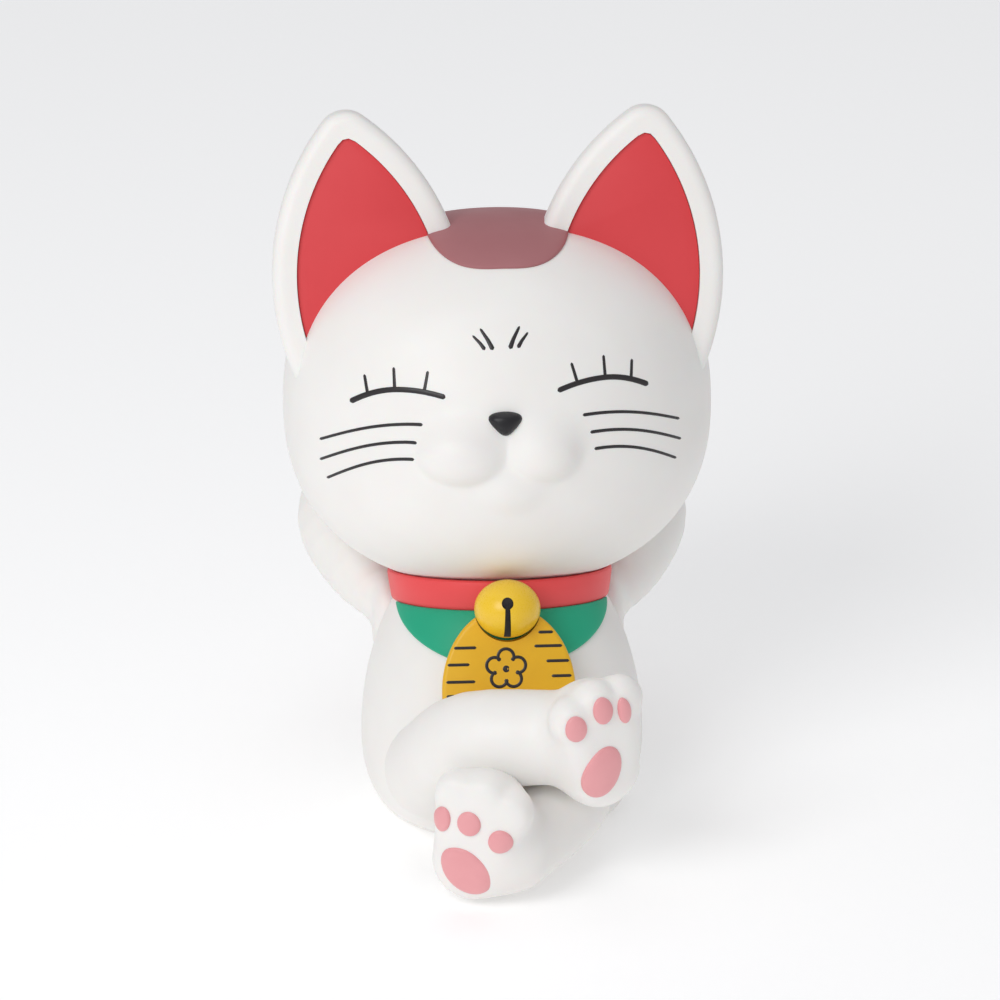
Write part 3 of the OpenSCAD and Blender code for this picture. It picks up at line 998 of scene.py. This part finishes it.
# Brow marks: points across and up on the left, and the width of the stroke
brows = (
    (((2.0, 16.9), (3.0, 19.1), (4.7, 21.9)), 1.05),
    (((3.9, 17.0), (4.9, 18.5), (6.6, 20.4)), 0.9),
)
brow_x = 0.6
eye_lines, brow_lines, whisker_lines = [], [], []
for side in (1, -1):
    t = np.linspace(-1, 1, 40)
    drop = np.where(t > 0, eye_outer, eye_inner) * t**2
    arc = np.stack([side * (eye_x + t * eye_half), eye_top - drop], 1)
    eye_lines.append(brush_path(on_face(arc), 1.35))
    for foot_x, foot_z, lean_x, long in lashes:
        a = (side * (eye_x + foot_x), foot_z)
        b = (side * (eye_x + foot_x + lean_x), foot_z + long)
        eye_lines.append(brush_path(on_face([a, b]), 0.82, (1.0, 0.85)))
    for stroke, wide in brows:
        drawn = on_face([(side * x + brow_x, z) for x, z in stroke])
        brow_lines.append(brush_path(drawn, wide, (1.15, 0.6)))
    for start_x, start_z, end_x, fall in whiskers:
        t = np.linspace(0, 1, 24)
        x = start_x + (end_x - start_x) * t
        z = start_z + 0.4 * np.sin(t * math.pi) - fall * t**2
        whisker_lines.append(brush_path(on_face(np.stack([side * x, z], 1)), 0.84, (1.0, 0.8)))
for name, lines in (
    ("painted_eyes", eye_lines), ("painted_brows", brow_lines), ("painted_whiskers", whisker_lines),
):
    marks = brush_lines(name, lines, on_head, proud=0.14)
    finish_piece(marks, black_paint, crease=80)
    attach(marks, "head")

# ---------------------------------------------------------------------------------
# ARMS
# Two hollow white vinyl arms, bent up and back so that the paws lie behind the head.
# Each has a round shoulder that turns in the cup of the torso on its nylon peg, and
# soft finger grooves in its paw.
# ---------------------------------------------------------------------------------

arm_path = (
    ((26, 13.5, 47.5), 5.5), ((33.4, 20.5, 56.5), 8.3), ((38.4, 31, 67), 9.1),
    ((33, 44, 78), 8.8), ((21, 53.5, 88), 9.0), ((14, 56.5, 93.5), 9.7),
)
finger_gap, groove_deep, groove_wide = 2.9, 0.9, 0.9
shoulder_r, shoulder_flat = 9.5, 30.4


def mirrored(path, side):
    return tuple(((x * side, y, z), r) for (x, y, z), r in path)


def arm_form(side):
    """An arm in the leaned frame: a round shoulder cropped flat on its outer side, and a
    limb with finger grooves across its tip, kept clear of the head."""
    path = flowing(mirrored(arm_path, side))
    tip, before = np.array(path[-1][0]), np.array(path[-5][0])
    ahead = (tip - before) / np.linalg.norm(tip - before)
    to_head = np.array([0, 0, head_z]) - tip
    over = np.cross(ahead, to_head / np.linalg.norm(to_head))

    def form(p):
        joint = ball(p, shoulder_at(side), shoulder_r)
        joint = crop(joint, p[:, 0] * side - shoulder_flat, 3.5)
        u, v = (p - tip) @ over, (p - tip) @ ahead
        groove = np.exp(-(((np.abs(u) - finger_gap) / groove_wide) ** 2)) * np.clip(v / 5, 0, 1)
        whole = weld(joint, limb(p, *path) + groove_deep * groove, 2.5)
        return crop(whole, -head_shape(p, 1.1), 0.8)

    return form


for name, side in (("left", 1), ("right", -1)):
    lumps = along(*mirrored(arm_path, side))
    lumps.append((shoulder_at(side) - Vector((side, 0, 0)), (8, 9, 9)))
    arm = cast(name + "_bent_arm", arm_form(side), lumps, 0.7, LEANED)
    finish_piece(arm, white_vinyl)
    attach(arm, name + "_arm")
    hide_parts(name + "_arm")

# ---------------------------------------------------------------------------------
# STUDIO
# A plain pale floor, a large soft light from the left with a weak fill, and a long lens
# a little above the figure.
# ---------------------------------------------------------------------------------

bm = bmesh.new()
bmesh.ops.create_grid(bm, x_segments=1, y_segments=1, size=6)
floor = link_piece("floor", mesh_of(bm, "floor"))
paper = bpy.data.materials.new("white_backdrop_paper")
paper.use_nodes = True
sheet = paper.node_tree.nodes["Principled BSDF"]
sheet.inputs["Base Color"].default_value = linear("#f8f8f8")
sheet.inputs["Roughness"].default_value = 0.9
sheet.inputs["Emission Color"].default_value = linear("#ffffff")
sheet.inputs["Emission Strength"].default_value = 0.22
floor.data.materials.append(paper)

world = bpy.data.worlds.new("soft_daylight")
world.use_nodes = True
sky = world.node_tree
daylight = sky.nodes["Background"]
daylight.inputs["Color"].default_value = linear("#fbfcff")
daylight.inputs["Strength"].default_value = 0.47
backdrop = node(sky, "ShaderNodeBackground", {"Color": linear("#ffffff"), "Strength": 1.0})
seen = node(sky, "ShaderNodeLightPath").outputs["Is Camera Ray"]
split = node(sky, "ShaderNodeMixShader", Fac=seen)
sky.links.new(daylight.outputs[0], split.inputs[1])
sky.links.new(backdrop.outputs[0], split.inputs[2])
sky.links.new(split.outputs[0], sky.nodes["World Output"].inputs["Surface"])
bpy.context.scene.world = world


def soft_box(name, place, aim, wide, power):
    lamp = bpy.data.lights.new(name, "AREA")
    lamp.shape = "RECTANGLE"
    lamp.size = lamp.size_y = wide
    lamp.energy = power
    light = link_piece(name, lamp)
    light.location = place
    light.rotation_euler = (Vector(aim) - Vector(place)).to_track_quat("-Z", "Y").to_euler()


soft_box("key_left", (-0.55, -0.75, 0.75), (0, 0, 0.08), 0.6, 5.1)
soft_box("fill_right", (0.9, -0.6, 0.4), (0, 0, 0.08), 0.9, 0.2)
soft_box("top", (0, 0.1, 1.1), (0, 0, 0.1), 0.8, 1.6)

azimuth, elevation = math.radians(-3.2), math.radians(23)
level = math.cos(elevation)
look = Vector((-math.sin(azimuth) * level, math.cos(azimuth) * level, -math.sin(elevation)))
across = look.cross(Vector((0, 0, 1))).normalized()
upward = across.cross(look)
camera = link_piece("camera", bpy.data.cameras.new("camera"))
camera.data.lens, camera.data.sensor_width = 375, 36
camera.location = -look * 2.525 - across * 0.00072 + upward * 0.07416
camera.rotation_euler = look.to_track_quat("-Z", "Y").to_euler()
bpy.context.scene.camera = camera
bpy.context.scene.view_settings.view_transform = "Standard"
